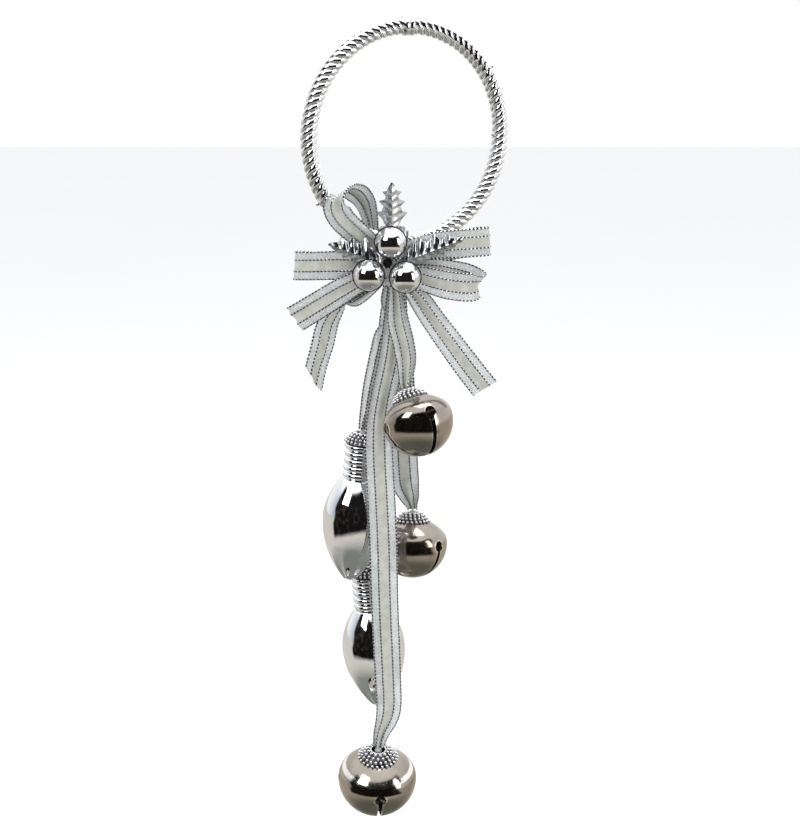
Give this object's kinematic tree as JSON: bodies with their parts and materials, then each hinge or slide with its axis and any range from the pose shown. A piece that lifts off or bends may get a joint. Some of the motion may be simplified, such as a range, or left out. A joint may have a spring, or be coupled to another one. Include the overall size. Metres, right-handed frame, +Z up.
{
  "type": "christmas bell ornament",
  "caption": "Silver door hanger: a twisted hoop with a ribbon bow and a holly pick, from which jingle bells and bulb-shaped drops hang on ribbons.",
  "frame": {"origin": "the hook seat, at the inner top of the hoop", "axes": "+Z up, with the bow's front towards -Y and +X to the right of someone facing it"},
  "size_m": [0.1246, 0.0888, 0.4624],
  "materials": {
    "hoop_metal": "metallised",
    "ribbon": "organza and satin with metallic thread",
    "wire": "dull",
    "leaf_foil": "metallised",
    "berry_mirror": "metallised mirror",
    "cap_metal": "metallised",
    "bell_nickel": "polished nickel plate",
    "ball_steel": "plain",
    "bulb_mirror": "metallised mirror"
  },
  "bodies": {
    "hanger": {"hoop": "hoop_metal", "hoop_sleeve": "hoop_metal", "bow_band": "ribbon", "tie_wire": "wire", "bow_loop_upper_left": "ribbon", "bow_loop_left": "ribbon", "bow_loop_lower_left": "ribbon", "bow_loop_upper_right": "ribbon", "bow_loop_lower_right": "ribbon", "bow_tail_left": "ribbon", "bow_tail_right": "ribbon", "holly_hub": "leaf_foil", "holly_leaf_top": "leaf_foil", "holly_leaf_left": "leaf_foil", "holly_leaf_right": "leaf_foil", "berry_top": "berry_mirror", "berry_left": "berry_mirror", "berry_right": "berry_mirror", "berry_cups": "berry_mirror", "ribbon_bunch": "ribbon", "lower_bell_ribbon_top": "ribbon"},
    "upper_bell_drop": {"upper_bell_ribbon": "ribbon"},
    "upper_bell": {"upper_bell_knot": "ribbon", "upper_bell_cap": "cap_metal", "upper_bell_shank": "wire", "upper_bell_shell": "bell_nickel"},
    "upper_bell_ball": {"upper_bell_ball": "ball_steel"},
    "middle_bell_drop": {"middle_bell_ribbon": "ribbon"},
    "middle_bell": {"middle_bell_knot": "ribbon", "middle_bell_cap": "cap_metal", "middle_bell_shank": "wire", "middle_bell_shell": "bell_nickel"},
    "middle_bell_ball": {"middle_bell_ball": "ball_steel"},
    "lower_bell_drop": {"lower_bell_ribbon": "ribbon"},
    "lower_bell": {"lower_bell_knot": "ribbon", "lower_bell_cap": "cap_metal", "lower_bell_shank": "wire", "lower_bell_shell": "bell_nickel"},
    "lower_bell_ball": {"lower_bell_ball": "ball_steel"},
    "left_bulb_drop": {"left_bulb_ribbon": "ribbon"},
    "left_bulb": {"left_bulb_knot": "ribbon", "left_bulb_cap": "cap_metal", "left_bulb_body": "bulb_mirror"},
    "rear_bulb_drop": {"rear_bulb_ribbon": "ribbon"},
    "rear_bulb": {"rear_bulb_knot": "ribbon", "rear_bulb_cap": "cap_metal", "rear_bulb_body": "bulb_mirror"}
  },
  "joints": [
    {"name": "upper_bell_swing", "type": "hinge", "parent": "hanger", "child": "upper_bell_drop", "pos_m": [-0.0045, -0.011, -0.1582], "axis": [1, 0, 0], "range_deg": [-35, 0]},
    {"name": "upper_bell_twist", "type": "hinge", "parent": "upper_bell_drop", "child": "upper_bell", "pos_m": [0.0022, -0.0215, -0.2004], "axis": [-0.3171, 0.3746, 0.8713], "range_deg": [-90, 90]},
    {"name": "upper_bell_ball_roll", "type": "hinge", "parent": "upper_bell", "child": "upper_bell_ball", "pos_m": [0.006, -0.026, -0.21085], "axis": [0, 1, 0], "range_deg": [-40, 40]},
    {"name": "middle_bell_swing", "type": "hinge", "parent": "hanger", "child": "middle_bell_drop", "pos_m": [-0.004, 0.001, -0.1582], "axis": [0, 1, 0], "range_deg": [-35, 0]},
    {"name": "middle_bell_twist", "type": "hinge", "parent": "middle_bell_drop", "child": "middle_bell", "pos_m": [0.0036, 0.0182, -0.2832], "axis": [0, 0.1392, 0.9903], "range_deg": [-90, 90]},
    {"name": "middle_bell_ball_roll", "type": "hinge", "parent": "middle_bell", "child": "middle_bell_ball", "pos_m": [0.0036, 0.01649, -0.29538], "axis": [0, 1, 0], "range_deg": [-40, 40]},
    {"name": "lower_bell_swing", "type": "hinge", "parent": "hanger", "child": "lower_bell_drop", "pos_m": [-0.0155, -0.0106, -0.2362], "axis": [1, 0, 0], "range_deg": [-35, 0]},
    {"name": "lower_bell_twist", "type": "hinge", "parent": "lower_bell_drop", "child": "lower_bell", "pos_m": [-0.0166, -0.018, -0.4162], "axis": [0.0339, -0.2419, 0.9697], "range_deg": [-90, 90]},
    {"name": "lower_bell_ball_roll", "type": "hinge", "parent": "lower_bell", "child": "lower_bell_ball", "pos_m": [-0.01707, -0.01466, -0.42958], "axis": [0, 1, 0], "range_deg": [-40, 40]},
    {"name": "left_bulb_swing", "type": "hinge", "parent": "hanger", "child": "left_bulb_drop", "pos_m": [-0.0095, -0.002, -0.1582], "axis": [0, 1, 0], "range_deg": [0, 35]},
    {"name": "left_bulb_twist", "type": "hinge", "parent": "left_bulb_drop", "child": "left_bulb", "pos_m": [-0.0254, 0.004, -0.2312], "axis": [0.0958, 0, 0.9954], "range_deg": [-90, 90]},
    {"name": "rear_bulb_swing", "type": "hinge", "parent": "hanger", "child": "rear_bulb_drop", "pos_m": [-0.008, 0.0045, -0.1582], "axis": [1, 0, 0], "range_deg": [0, 35]},
    {"name": "rear_bulb_twist", "type": "hinge", "parent": "rear_bulb_drop", "child": "rear_bulb", "pos_m": [-0.023, 0.024, -0.3172], "axis": [-0.0767, 0, 0.9971], "range_deg": [-90, 90]}
  ]
}
